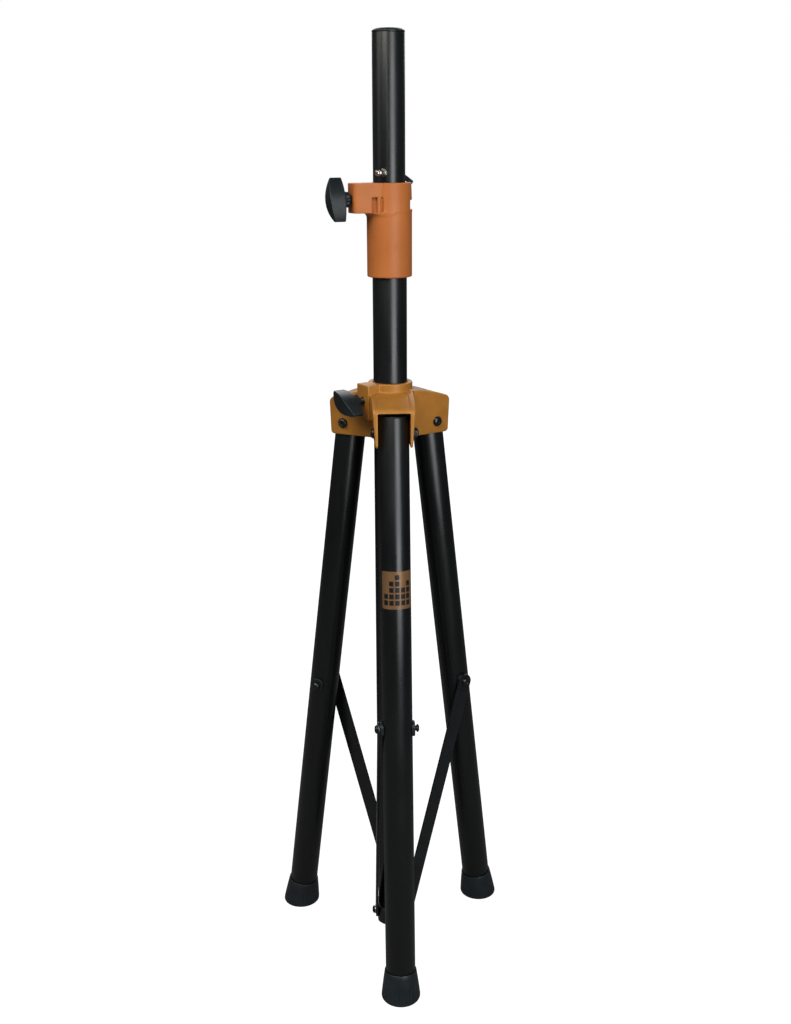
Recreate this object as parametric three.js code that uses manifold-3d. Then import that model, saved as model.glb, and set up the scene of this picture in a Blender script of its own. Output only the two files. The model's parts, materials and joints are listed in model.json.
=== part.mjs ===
// Speaker tripod stand, millimetres, +Z up, standing on its three rubber feet.
// A pole slides in a mast; a hub slides on the mast and carries three legs; a strut
// joins each leg to the bracket at the foot of the mast. The front leg points to -Y.
import * as THREE from "three";
import { mergeVertices } from "three/addons/utils/BufferGeometryUtils.js";
import Module from "manifold-3d";

const wasm = await Module();
wasm.setup();

// ---------- driving dimensions ----------
const GAP = 0.3; // clearance between neighbouring pieces
const POLE_R = 17.5;
const MAST_R = 19;
const LEG_R = 17.5;
const TUBE_WALL = 1.2;
const TUBE_SIDES = 32;
const COLLAR_SIDES = 36;

const PIVOT_Z = 665; // height of the leg pivots above the floor
const PIVOT_R = 50; // distance of the leg pivots from the mast's axis
const LEG_ANGLE = THREE.MathUtils.degToRad(7.5); // from vertical
const LEG_TOP = 17.5; // leg tube above its pivot
const LEG_BOTTOM = 661.5; // leg tube below its pivot
const KNEE = 340; // pivot to strut bolt along the leg
const STRUT_FOOT_R = 5; // strut's lower bolt, distance along its leg's direction
const STRUT_FOOT_Z = 28; // and height

const POLE_TOP_Z = 1081.5;
const POLE_BOTTOM_Z = 66;
const MAST_TOP_Z = 903.5;
const BRACKET_TOP_Z = 36.5;
const BRACKET_BOTTOM_Z = 14;
const SPIGOT = 17; // height of the bracket's spigot inside the mast
const COLLAR_BOTTOM_Z = 830.5;
const COLLAR_STEP_Z = 899;
const COLLAR_TOP_Z = 930.5;
const KNOB_Z = 913.5; // collar knob's axis
const PIN_Z = 941;
const PIN_AZIMUTH = 66; // degrees, from the tip towards the handle
const PIN_HOLE_R = 3.5;
const PIN_HOLE_SPACING = 90;
const PIN_HOLES = 8;

const COLLAR_BOSS = { azimuth: -160, reach: 45, z: KNOB_Z, spin: -16.5, gap: 0 };
const HUB_BOSS = { azimuth: -150, reach: 37.3, z: PIVOT_Z + 29.9, spin: -64, gap: 4 };

const BOLT_R = 3;
const STRUT_T = 2.4; // strut thickness
const STRUT_W = 18; // strut width
const STRUT_FACE = 20.4; // strut's inner face, from the plane through mast and leg
const EAR_OUT = 22; // outer face of a yoke's ear, from the same plane
const EAR_IN = 18;

const LEGS = [
  { name: "front", azimuth: -90, boltHead: -1 },
  { name: "left", azimuth: 150, boltHead: 1 },
  { name: "right", azimuth: 30, boltHead: -1 },
];

const rad = THREE.MathUtils.degToRad;

// ---------- materials ----------
function material(color, roughness, metalness) {
  return new THREE.MeshStandardMaterial({ color, roughness, metalness });
}
const BLACK_TUBE = material(0x17181a, 0.38, 0.3);
const BLACK_STEEL = material(0x1c1d1f, 0.45, 0.6);
const BLACK_PLASTIC = material(0x1f2426, 0.5, 0);
const RUBBER = material(0x191a1b, 0.75, 0);
const ORANGE_PLASTIC = material(0xbe6e3a, 0.5, 0);
const GOLD_CASTING = material(0xa87030, 0.45, 0.2);
const BRIGHT_STEEL = material(0xb9b7b0, 0.3, 0.9);
const BRASS = material(0xb59a55, 0.35, 0.9);
const NYLON = material(0x2a2b2c, 0.6, 0);
const BADGE = material(0x8a6034, 0.4, 0.3);

// ---------- solids ----------
function toSolid(geometry) {
  const bare = geometry.clone();
  bare.deleteAttribute("normal");
  bare.deleteAttribute("uv");
  const merged = mergeVertices(bare, 1e-4);
  return new wasm.Manifold(
    new wasm.Mesh({
      numProp: 3,
      vertProperties: merged.attributes.position.array,
      triVerts: new Uint32Array(merged.index.array),
    }),
  );
}

function toGeometry(solid) {
  const mesh = solid.getMesh();
  const geometry = new THREE.BufferGeometry();
  geometry.setAttribute("position", new THREE.BufferAttribute(mesh.vertProperties, 3));
  geometry.setIndex(new THREE.BufferAttribute(mesh.triVerts, 1));
  geometry.computeVertexNormals();
  return geometry;
}

function cut(geometry, ...tools) {
  return toGeometry(tools.reduce((body, tool) => body.subtract(toSolid(tool)), toSolid(geometry)));
}

function join(...pieces) {
  const [first, ...rest] = pieces.map(toSolid);
  return toGeometry(rest.reduce((body, piece) => body.add(piece), first));
}

// Turned about Z: points are [radius, z], going round with the solid on the left.
function turned(points, sides = TUBE_SIDES) {
  const profile = points.map(([r, z]) => new THREE.Vector2(r, z));
  return new THREE.LatheGeometry(profile, sides).rotateX(Math.PI / 2);
}

function rod(radius, z0, z1, sides = 16) {
  return turned([[0, z0], [radius, z0], [radius, z1], [0, z1]], sides);
}

function pipe(inner, outer, z0, z1, sides = TUBE_SIDES) {
  return turned([[outer, z0], [outer, z1], [inner, z1], [inner, z0], [outer, z0]], sides);
}

// A rod or a turned piece made along Z is laid along +Y.
function alongY(geometry) {
  return geometry.rotateX(-Math.PI / 2);
}

// ... or along +X.
function alongX(geometry) {
  return geometry.rotateY(Math.PI / 2);
}

// Outline of a belt pulled round circles [x, y, radius], listed anticlockwise.
function belt(circles) {
  const shape = new THREE.Shape();
  const tangent = circles.map(([x0, y0, r0], i) => {
    const [x1, y1, r1] = circles[(i + 1) % circles.length];
    const distance = Math.hypot(x1 - x0, y1 - y0);
    return Math.atan2(y1 - y0, x1 - x0) - Math.acos((r0 - r1) / distance);
  });
  circles.forEach(([x, y, r], i) => {
    const start = tangent[(i + circles.length - 1) % circles.length];
    let end = tangent[i];
    while (end < start) end += 2 * Math.PI;
    shape.absarc(x, y, r, start, end, false);
  });
  return shape;
}

function extruded(shape, z0, z1, curveSegments = 5) {
  const depth = z1 - z0;
  const options = { depth, bevelEnabled: false, curveSegments };
  return new THREE.ExtrudeGeometry(shape, options).translate(0, 0, z0);
}

// An outline in the upright plane (x outwards, y up) given thickness from t0 to t1
// along the piece's own +Y.
function upright(shape, t0, t1, curveSegments = 5) {
  return extruded(shape, -t1, -t0, curveSegments).rotateX(Math.PI / 2);
}

function polygon(points) {
  return new THREE.Shape(points.map(([x, y]) => new THREE.Vector2(x, y)));
}

// ---------- scene graph ----------
const stand = new THREE.Group();

function add(parent, name, geometry, look) {
  const mesh = new THREE.Mesh(geometry, look);
  mesh.name = name;
  parent.add(mesh);
  return mesh;
}

function group(parent, { x = 0, z = 0, turn = 0, tilt = 0 } = {}) {
  const g = new THREE.Group();
  g.position.set(x, 0, z);
  g.rotation.order = "ZYX";
  g.rotation.set(0, tilt, rad(turn));
  parent.add(g);
  return g;
}

// ---------- pole, its cap and its lock pin ----------
function makePole() {
  const bore = POLE_R - TUBE_WALL;
  const holes = Array.from({ length: PIN_HOLES }, (_, i) =>
    alongX(rod(PIN_HOLE_R, -POLE_R - 5, POLE_R + 5, 10))
      .rotateZ(rad(PIN_AZIMUTH))
      .translate(0, 0, PIN_Z - i * PIN_HOLE_SPACING),
  );
  add(stand, "pole_tube", cut(pipe(bore, POLE_R, POLE_BOTTOM_Z, POLE_TOP_Z), ...holes), BLACK_TUBE);

  const plug = bore - GAP;
  const rim = POLE_TOP_Z + GAP;
  const cap = turned([
    [0, rim - 18], [plug, rim - 18], [plug, rim], [POLE_R, rim], [POLE_R, rim + 1.6],
    [POLE_R - 1.2, rim + 3.2], [POLE_R - 4, rim + 4.2], [0, rim + 4.2],
  ]);
  add(stand, "pole_top_cap", cap, BLACK_PLASTIC);

  const foot = POLE_BOTTOM_Z - GAP;
  const bush = turned([
    [POLE_R, foot - 3], [POLE_R, foot], [plug, foot], [plug, foot + 20],
    [plug - 2, foot + 20], [plug - 2, foot - 3], [POLE_R, foot - 3],
  ]);
  add(stand, "pole_bottom_bush", bush, NYLON);
}

function makeLockPin() {
  const axis = group(stand, { z: PIN_Z, turn: PIN_AZIMUTH });
  const reach = 27; // centre of the handle's bend, from the pole's axis
  const tip = turned([
    [0, -37], [2.2, -37], [3, -36.2], [3, -33], [2.2, -32.4], [2.2, -31.6],
    [3, -31], [3, reach + 2.4], [0, reach + 2.4],
  ], 16);
  const droop = rad(-35);
  const arm = alongY(rod(1.7, -19, 0, 12)).rotateX(-droop).translate(reach, 0, 0);
  add(axis, "lock_pin", join(alongX(tip), arm), BRIGHT_STEEL);

  const sleeve = turned([
    [0, -20.3], [2.3, -20.3], [2.6, -20], [2.6, -3.6], [2, -3.6], [2, -19.3], [0, -19.3],
  ], 16);
  add(axis, "pin_grip", alongY(sleeve).rotateX(-droop).translate(reach, 0, 0), BLACK_PLASTIC);
}

// ---------- clamp: boss, insert, pad, screw and wing knob, made along +X ----------
const SCREW_R = 4;
const INSERT_R = 6.6;
const PAD_R = 5.8;

// The hole through a boss: pad and insert sit in its wide part, next to the tube.
function bossHole(reach) {
  return join(
    alongX(rod(INSERT_R + GAP, 0, reach - 3)),
    alongX(rod(SCREW_R + 0.4, 0, reach + 5)),
  );
}

// Seen along the screw the wing is a lens with blunt ends.
function wingKnob() {
  const half = 23.6; // half the wing's length
  const wing = new THREE.Shape();
  wing.moveTo(-half, 8.5);
  wing.lineTo(half, 8.5);
  wing.lineTo(half, 21.4);
  wing.quadraticCurveTo(0, 30.6, -half, 21.4);
  const block = extruded(wing, -12, 12, 5).rotateX(Math.PI / 2);
  const outside = polygon([[-40, -20], [40, -20], [40, 20], [-40, 20]]);
  const lens = new THREE.Path();
  lens.moveTo(-half - 1, 0.8);
  lens.quadraticCurveTo(0, 16.6, half + 1, 0.8);
  lens.lineTo(half + 1, -0.8);
  lens.quadraticCurveTo(0, -16.6, -half - 1, -0.8);
  lens.lineTo(-half - 1, 0.8);
  outside.holes.push(lens);
  const body = cut(block, extruded(outside, 0, 40, 5));
  const neck = rod(8, 3.6, 12, 20);
  const cone = turned([[0, 0.6], [4.9, 0.6], [8, 3.8], [0, 3.8]], 20);
  const blind = rod(SCREW_R + GAP, 0, 18);
  return cut(join(body, neck, cone), blind);
}

function makeClamp(prefix, tubeR, boss) {
  const axis = group(stand, { z: boss.z, turn: boss.azimuth });
  const face = boss.reach;
  const pad = rod(PAD_R, tubeR + GAP, tubeR + 4.5);
  add(axis, prefix + "_clamp_pad", alongX(pad), NYLON);
  const screw = rod(SCREW_R, tubeR + 4.5 + GAP, face + boss.gap + 17.6);
  add(axis, prefix + "_screw", alongX(screw), BLACK_STEEL);
  const insert = pipe(SCREW_R + GAP, INSERT_R, face - 11.2, face - 3.2, 16);
  add(axis, prefix + "_insert", alongX(insert), BRASS);
  const knob = alongX(wingKnob()).rotateX(-rad(boss.spin)).translate(face + boss.gap, 0, 0);
  add(axis, prefix + "_knob", knob, BLACK_PLASTIC);
}

// ---------- mast, collar and end bracket ----------
function makeMast() {
  const tube = pipe(MAST_R - TUBE_WALL, MAST_R, BRACKET_TOP_Z + GAP, MAST_TOP_Z);
  add(stand, "mast_tube", tube, BLACK_TUBE);

  const spigot = MAST_R - TUBE_WALL - GAP;
  const round = turned([
    [22.4, BRACKET_BOTTOM_Z], [22.4, BRACKET_TOP_Z], [spigot, BRACKET_TOP_Z],
    [spigot, BRACKET_TOP_Z + SPIGOT], [12, BRACKET_TOP_Z + SPIGOT], [12, BRACKET_BOTTOM_Z],
    [22.4, BRACKET_BOTTOM_Z],
  ]);
  const flats = LEGS.map((leg) =>
    new THREE.BoxGeometry(60, 20, 80)
      .translate(0, -STRUT_FACE + GAP - 10, BRACKET_BOTTOM_Z)
      .rotateZ(rad(leg.azimuth)),
  );
  add(stand, "mast_end_bracket", cut(round, ...flats), BLACK_STEEL);
}

function makeCollar() {
  const inner = MAST_R + GAP;
  const sleeve = turned([
    [23.2, COLLAR_BOTTOM_Z], [24.7, COLLAR_BOTTOM_Z + 1.5], [24.7, COLLAR_STEP_Z],
    [25, COLLAR_STEP_Z + 0.3], [24, COLLAR_TOP_Z], [POLE_R + 0.5, COLLAR_TOP_Z],
    [POLE_R + 0.5, MAST_TOP_Z + GAP], [inner, MAST_TOP_Z + GAP], [inner, COLLAR_BOTTOM_Z],
    [23.2, COLLAR_BOTTOM_Z],
  ], COLLAR_SIDES);
  const { reach, azimuth, z } = COLLAR_BOSS;
  const halfWidth = 13;
  const corner = 3;
  const side = halfWidth - corner;
  const plan = belt([[0, 0, 24.2], [reach - corner, -side, corner], [reach - corner, side, corner]]);
  const boss = cut(
    extruded(plan, COLLAR_STEP_Z + 0.3, COLLAR_TOP_Z, 16),
    rod(22, COLLAR_STEP_Z - 5, COLLAR_TOP_Z + 5, COLLAR_SIDES),
  ).rotateZ(rad(azimuth));
  const hole = bossHole(reach).rotateZ(rad(azimuth)).translate(0, 0, z);
  const notch = new THREE.BoxGeometry(8, 30, 10).translate(26, 0, 907.5);
  const pocket = new THREE.BoxGeometry(13, 4, 15).translate(-12, -24, 908);
  const rib = rod(2.6, 900.5, 915.5, 12).translate(-12, -22.6, 0);
  const shell = cut(join(sleeve, boss), pocket);
  add(stand, "collar_housing", cut(join(shell, rib), hole, notch), ORANGE_PLASTIC);
}

// ---------- hub casting with three yokes ----------
// Heights here are relative to the leg pivots.
function yokeBlock() {
  const outline = belt([[20, -12, 2], [62.5, -10, 4], [61.5, 23, 5], [45, 33, 2], [22, 36.9, 2]]);
  return upright(outline, -EAR_OUT, EAR_OUT, 3);
}

function yokeChannel() {
  const outline = polygon([[19, -30], [80, -30], [80, 24.7], [62.5, 24.7], [59, 27], [19, 35]]);
  return upright(outline, -EAR_IN, EAR_IN);
}

function makeHub() {
  const bore = MAST_R + GAP;
  const round = (angle, geometry) => geometry.rotateZ(rad(angle));
  const sleeve = turned([
    [22.5, -14], [22.5, 34], [25, 38], [25, 47.8], [23.8, 49], [bore + 0.8, 49],
    [bore, 48.2], [bore, -14], [22.5, -14],
  ], COLLAR_SIDES);
  const azimuths = LEGS.map((leg) => leg.azimuth);
  const yokes = join(...azimuths.map((a) => round(a, yokeBlock())));
  const channels = azimuths.map((a) => round(a, yokeChannel()));
  const boltHoles = azimuths.map((a) =>
    round(a, alongY(rod(BOLT_R + GAP, -30, 30)).translate(PIVOT_R, 0, 0)),
  );
  const { reach, azimuth, z } = HUB_BOSS;
  const block = new THREE.BoxGeometry(reach - 18, 24, 39.2).translate((reach + 18) / 2, 0, 28.6);
  const body = join(cut(yokes, ...channels), sleeve, round(azimuth, block));
  const hole = round(azimuth, bossHole(reach)).translate(0, 0, z - PIVOT_Z);
  const hub = cut(body, rod(bore, -40, 48.2, COLLAR_SIDES), hole, ...boltHoles);
  add(stand, "hub_casting", hub.translate(0, 0, PIVOT_Z), GOLD_CASTING);
}

// ---------- fasteners, made along +Y ----------
// A button-head bolt: side is the way its head points; face is the seat of its head.
function bolt(face, far, side, headR = 5.8, headT = 3.6) {
  const profile = [
    [0, -far], [BOLT_R, -far], [BOLT_R, face], [headR, face], [headR, face + headT * 0.45],
    [headR * 0.62, face + headT], [0, face + headT],
  ];
  const made = alongY(turned(profile, 14));
  return side > 0 ? made : made.rotateZ(Math.PI);
}

function hexNut(face, thickness, side) {
  const hole = rod(BOLT_R + GAP, face - 1, face + thickness + 1);
  const nut = alongY(cut(rod(5.8, face, face + thickness, 6), hole));
  return side > 0 ? nut : nut.rotateZ(Math.PI);
}

function domeNut(face) {
  const profile = [
    [4.6, face], [4.6, face + 1.4], [3.2, face + 3], [0, face + 3.6], [0, face + 2.6],
    [BOLT_R + GAP, face + 2.2], [BOLT_R + GAP, face], [4.6, face],
  ];
  return alongY(turned(profile, 16));
}

// ---------- legs ----------
function makeLeg(parent, { name }) {
  const cross = (z) => alongY(rod(BOLT_R + GAP, -30, 30)).translate(0, 0, z);
  const tube = pipe(LEG_R - TUBE_WALL, LEG_R, -LEG_BOTTOM, LEG_TOP);
  add(parent, "leg_tube_" + name, cut(tube, cross(0), cross(-KNEE)), BLACK_TUBE);

  const plugR = LEG_R - TUBE_WALL - GAP;
  const top = LEG_TOP + GAP;
  const plug = turned([
    [0, top - 8], [plugR, top - 8], [plugR, top], [LEG_R - 0.3, top], [LEG_R - 1, top + 1],
    [0, top + 1],
  ]);
  add(parent, "leg_plug_" + name, plug, BLACK_PLASTIC);
  makeFoot(parent, name);

  const saddle = (side) => {
    const plate = new THREE.BoxGeometry(16, 6, 17).translate(0, side * (STRUT_FACE - GAP - 3), 0);
    return cut(plate, rod(LEG_R + GAP, -20, 20, TUBE_SIDES), cross(0)).translate(0, 0, -KNEE);
  };
  add(parent, "knee_saddle_inner_" + name, saddle(-1), BLACK_PLASTIC);
  add(parent, "knee_saddle_outer_" + name, saddle(1), BLACK_PLASTIC);

  const headSeat = STRUT_FACE + STRUT_T + GAP;
  const nutSeat = STRUT_FACE + 1.2;
  const kneeBolt = bolt(headSeat, nutSeat + 1.9, -1, 5, 3.2).translate(0, 0, -KNEE);
  add(parent, "knee_bolt_" + name, kneeBolt, BLACK_STEEL);
  add(parent, "knee_nut_" + name, domeNut(nutSeat).translate(0, 0, -KNEE), BLACK_STEEL);
}

// The rubber foot is a cup on the tube; its sole is cut level with the floor.
function makeFoot(parent, name) {
  const bore = LEG_R + GAP;
  const profile = [
    [0, -674], [19, -674], [21.6, -673], [23.3, -670], [23.2, -664], [19.4, -645],
    [18.9, -637.4], [18.4, -636.8], [bore, -636.8], [bore, -LEG_BOTTOM - GAP],
    [0, -LEG_BOTTOM - GAP],
  ];
  const floor = new THREE.BoxGeometry(400, 400, 100)
    .translate(0, 0, -PIVOT_Z - 50)
    .rotateY(LEG_ANGLE);
  add(parent, "leg_foot_" + name, cut(turned(profile, 28), floor), RUBBER);
}

function makeBadge(parent) {
  const centre = -174; // along the leg from its pivot
  const height = 43.5;
  const halfArc = rad(67);
  const inner = LEG_R + 0.15;
  const outer = inner + 0.35;
  const outline = new THREE.Shape();
  outline.absarc(0, 0, outer, -halfArc, halfArc, false);
  outline.absarc(0, 0, inner, halfArc, -halfArc, true);
  const badge = extruded(outline, centre - height / 2, centre + height / 2, 12);
  add(parent, "leg_badge", badge, BADGE);
}

function makePivot(parent, { name, boltHead }) {
  const seat = EAR_OUT + GAP;
  add(parent, "pivot_bolt_" + name, bolt(seat, seat + 5.6, boltHead), BLACK_STEEL);
  add(parent, "pivot_nut_" + name, hexNut(seat, 5, -boltHead), BLACK_STEEL);
}

// ---------- struts ----------
const KNEE_X = PIVOT_R + KNEE * Math.sin(LEG_ANGLE);
const KNEE_Z = PIVOT_Z - KNEE * Math.cos(LEG_ANGLE);
const STRUT_L = Math.hypot(KNEE_X - STRUT_FOOT_R, KNEE_Z - STRUT_FOOT_Z);
const STRUT_ANGLE = Math.atan2(KNEE_X - STRUT_FOOT_R, KNEE_Z - STRUT_FOOT_Z);

function makeStrut(parent, { name }) {
  const outline = belt([[0, -STRUT_L, STRUT_W / 2], [0, 0, STRUT_W / 2]]);
  const bar = upright(outline, -STRUT_FACE - STRUT_T, -STRUT_FACE, 8);
  const hole = (z) => alongY(rod(BOLT_R + GAP, -30, 0)).translate(0, 0, z);
  add(parent, "strut_" + name, cut(bar, hole(0), hole(-STRUT_L)), BLACK_STEEL);

  const outside = STRUT_FACE + STRUT_T + GAP;
  const washer = alongY(pipe(BOLT_R + GAP, 5.4, -outside - 0.8, -outside, 20));
  add(parent, "strut_washer_" + name, washer.translate(0, 0, -STRUT_L), BRIGHT_STEEL);
  const head = bolt(outside + 0.8 + GAP, -STRUT_FACE - GAP, -1, 4.9, 3);
  add(parent, "strut_bolt_" + name, head.translate(0, 0, -STRUT_L), BLACK_STEEL);
}

// ---------- assembly ----------
makePole();
makeLockPin();
makeMast();
makeCollar();
makeHub();
makeClamp("collar", POLE_R, COLLAR_BOSS);
makeClamp("hub", MAST_R, HUB_BOSS);
for (const leg of LEGS) {
  const arm = group(stand, { turn: leg.azimuth });
  const pivot = group(arm, { x: PIVOT_R, z: PIVOT_Z });
  makePivot(pivot, leg);
  const swung = group(pivot, { tilt: -LEG_ANGLE });
  makeLeg(swung, leg);
  if (leg.name === "front") makeBadge(swung);
  makeStrut(group(arm, { x: KNEE_X, z: KNEE_Z, tilt: STRUT_ANGLE }), leg);
}

// The origin is on the floor, at the middle of the footprint.
stand.updateMatrixWorld(true);
const box = new THREE.Box3();
stand.traverse((piece) => {
  if (piece.isMesh) box.union(new THREE.Box3().setFromObject(piece, true));
});
stand.position.y = -(box.min.y + box.max.y) / 2;

export default stand;
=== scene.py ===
"""Looks of the speaker tripod stand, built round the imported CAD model.

Each shape is made in millimetres in the frame of the piece it belongs to, then placed in metres.
"""

import json
import math

import bmesh
import bpy
import numpy as np
from mathutils import Matrix, Vector


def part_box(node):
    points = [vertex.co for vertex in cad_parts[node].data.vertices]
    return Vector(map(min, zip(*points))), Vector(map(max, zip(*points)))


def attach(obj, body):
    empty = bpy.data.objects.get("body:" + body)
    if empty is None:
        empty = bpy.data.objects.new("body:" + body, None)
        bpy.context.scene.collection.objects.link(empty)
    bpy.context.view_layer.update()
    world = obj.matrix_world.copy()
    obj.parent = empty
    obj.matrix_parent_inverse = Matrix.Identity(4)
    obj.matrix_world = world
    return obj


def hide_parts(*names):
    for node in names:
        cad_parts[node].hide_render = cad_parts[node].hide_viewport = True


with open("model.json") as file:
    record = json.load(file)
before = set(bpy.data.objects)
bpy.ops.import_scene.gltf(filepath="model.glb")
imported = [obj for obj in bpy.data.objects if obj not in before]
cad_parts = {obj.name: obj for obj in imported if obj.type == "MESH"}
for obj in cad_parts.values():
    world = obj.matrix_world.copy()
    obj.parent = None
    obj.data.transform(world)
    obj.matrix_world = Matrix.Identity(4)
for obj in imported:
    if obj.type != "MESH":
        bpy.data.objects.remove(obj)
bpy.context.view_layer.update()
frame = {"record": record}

record = frame["record"]
BODY = {node: body for body, members in record["behaviour"]["bodies"].items() for node in members}
SLOT = {part["node"]: part["material_slot"] for part in record["subparts"]}

# ---------- driving dimensions, millimetres ----------
MM = 0.001
POLE_R = 17.5
MAST_R = 19.0
LEG_R = 17.5
WALL = 1.2
CLEAR = 0.3
BOLT_R = 3.0
LEG_TILT = 7.5  # degrees from upright
KNEE = 340.0  # pivot to strut bolt, along the leg
STRUT_FACE = 20.4  # strut's inner face, from the plane through mast and leg
STRUT_T = 2.4
STRUT_W = 18.0
STRUT_FOOT_R = 5.0  # strut's lower bolt, distance from the mast's axis along its leg's direction
STRUT_FOOT_Z = 28.0  # and height
BRACKET_BOTTOM = 14.0
EAR_IN = 18.0  # inner face of a yoke's ear
EAR_OUT = 20.5  # outer face at the yoke's lower edge
YOKE_LOW = -14.0  # lower edge of a yoke, from the pivots' level
DRAFT = 0.068  # by which each side of a yoke widens upwards
TUBE_LOW = -661.5  # lower end of a leg's tube, along the leg from its pivot
TUBE_HIGH = 17.5  # and its upper end
BOSS_HOLE_R = 6.9  # of a clamp boss, round its pad and insert
BOSS_LIP = 3  # thickness of the boss's face, where the hole is narrow
LEGS = {"front": -90, "left": 150, "right": 30}
FLOOR_DROP = 52.0  # of the stage floor under the feet at rest, just past their lowest as the legs open
COARSE = 1.0


def corners(node):
    low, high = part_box(node)
    return np.array(low) / MM, np.array(high) / MM


def middle(node):
    low, high = corners(node)
    return (low + high) / 2


AXIS_X, AXIS_Y = middle("mast_tube")[:2]
MAST_BOTTOM, MAST_TOP = (end[2] for end in corners("mast_tube"))
POLE_BOTTOM, POLE_TOP = (end[2] for end in corners("pole_tube"))
COLLAR_BOTTOM, COLLAR_TOP = (end[2] for end in corners("collar_housing"))
PIVOT_Z = middle("pivot_bolt_front")[2]
PIVOT_R = AXIS_Y - middle("pivot_bolt_front")[1]
PIN_AZIMUTH = 66.0
PIN_Z = POLE_TOP - 140.5
PIN_R = 3.0
PIN_HOLE_R = 3.5
PIN_HOLE_PITCH = 90
PIN_HOLE_COUNT = 8
PIN_HOLES = [PIN_Z - PIN_HOLE_PITCH * i for i in range(PIN_HOLE_COUNT)]
# A clamp boss reaches so far out from the mast's axis. Its knob is turned by spin, and stands
# off the boss by gap.
HUB_SCREW_Z = 29.9  # over the pivots
COLLAR_SCREW_Z = 83.0  # over the collar's lower end
COLLAR_BOSS = {"azimuth": -160, "reach": 45.0, "z": COLLAR_TOP - 17.0, "spin": -16.5, "gap": 0}
HUB_BOSS = {
    "azimuth": -150, "reach": 37.3, "z": PIVOT_Z + HUB_SCREW_Z, "spin": -64, "gap": 4,
}


# ---------- frames ----------
def turn(degrees, axis):
    return Matrix.Rotation(math.radians(degrees), 4, axis)


def shift(x=0.0, y=0.0, z=0.0):
    return Matrix.Translation((x, y, z))


STAND = Matrix.Scale(MM, 4) @ shift(AXIS_X, AXIS_Y)
SIDEWAYS = turn(-90, "X")  # lays a piece made along Z along +Y
OUTWARDS = turn(90, "Y")  # lays it along +X
KNEE_X = PIVOT_R + KNEE * math.sin(math.radians(LEG_TILT))
KNEE_Z = PIVOT_Z - KNEE * math.cos(math.radians(LEG_TILT))
STRUT_L = math.hypot(KNEE_X - STRUT_FOOT_R, KNEE_Z - STRUT_FOOT_Z)
STRUT_TILT = math.degrees(math.atan2(KNEE_X - STRUT_FOOT_R, KNEE_Z - STRUT_FOOT_Z))


def arm(leg):
    return STAND @ turn(LEGS[leg], "Z")


def pivot(leg):
    return arm(leg) @ shift(PIVOT_R, 0, PIVOT_Z)


def along_leg(leg):
    return pivot(leg) @ turn(-LEG_TILT, "Y")


def along_strut(leg):
    return arm(leg) @ shift(KNEE_X, 0, KNEE_Z) @ turn(STRUT_TILT, "Y")


def boss_frame(boss):
    return STAND @ shift(0, 0, boss["z"]) @ turn(boss["azimuth"], "Z")


# ---------- materials ----------
GRAIN_DEPTH = 0.0001  # metres
GLOSS_SPREAD = 0.05  # by which roughness varies either way


def add_node(tree, kind, **inputs):
    node = tree.nodes.new(kind)
    for name, value in inputs.items():
        socket = node.inputs[name.replace("_", " ")]
        if isinstance(value, bpy.types.NodeSocket):
            tree.links.new(value, socket)
        else:
            socket.default_value = value
    return node


def noise(tree, place, scale, detail=3.0, stretch=None):
    """Noise of so many spots to the metre; stretch draws it out along Z."""
    if stretch:
        mapping = add_node(tree, "ShaderNodeMapping", Vector=place)
        mapping.inputs["Scale"].default_value = (1, 1, 1 / stretch)
        place = mapping.outputs["Vector"]
    texture = add_node(tree, "ShaderNodeTexNoise", Vector=place, Scale=scale, Detail=detail)
    return texture.outputs["Fac"]


def remap(tree, value, low, high, from_low=0.3, from_high=0.7):
    """Stretches a value, by default noise's usual range, to run from low to high."""
    node = add_node(tree, "ShaderNodeMapRange", Value=value)
    node.inputs["From Min"].default_value = from_low
    node.inputs["From Max"].default_value = from_high
    node.inputs["To Min"].default_value = low
    node.inputs["To Max"].default_value = high
    return node.outputs["Result"]


def blend_colours(tree, factor, first, second):
    node = tree.nodes.new("ShaderNodeMix")
    node.data_type = "RGBA"
    tree.links.new(factor, node.inputs["Factor"])
    for name, colour in (("A", first), ("B", second)):
        socket = next(s for s in node.inputs if s.name == name and s.type == "RGBA")
        if isinstance(colour, bpy.types.NodeSocket):
            tree.links.new(colour, socket)
        else:
            socket.default_value = (*colour, 1)
    return next(s for s in node.outputs if s.type == "RGBA")


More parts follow.
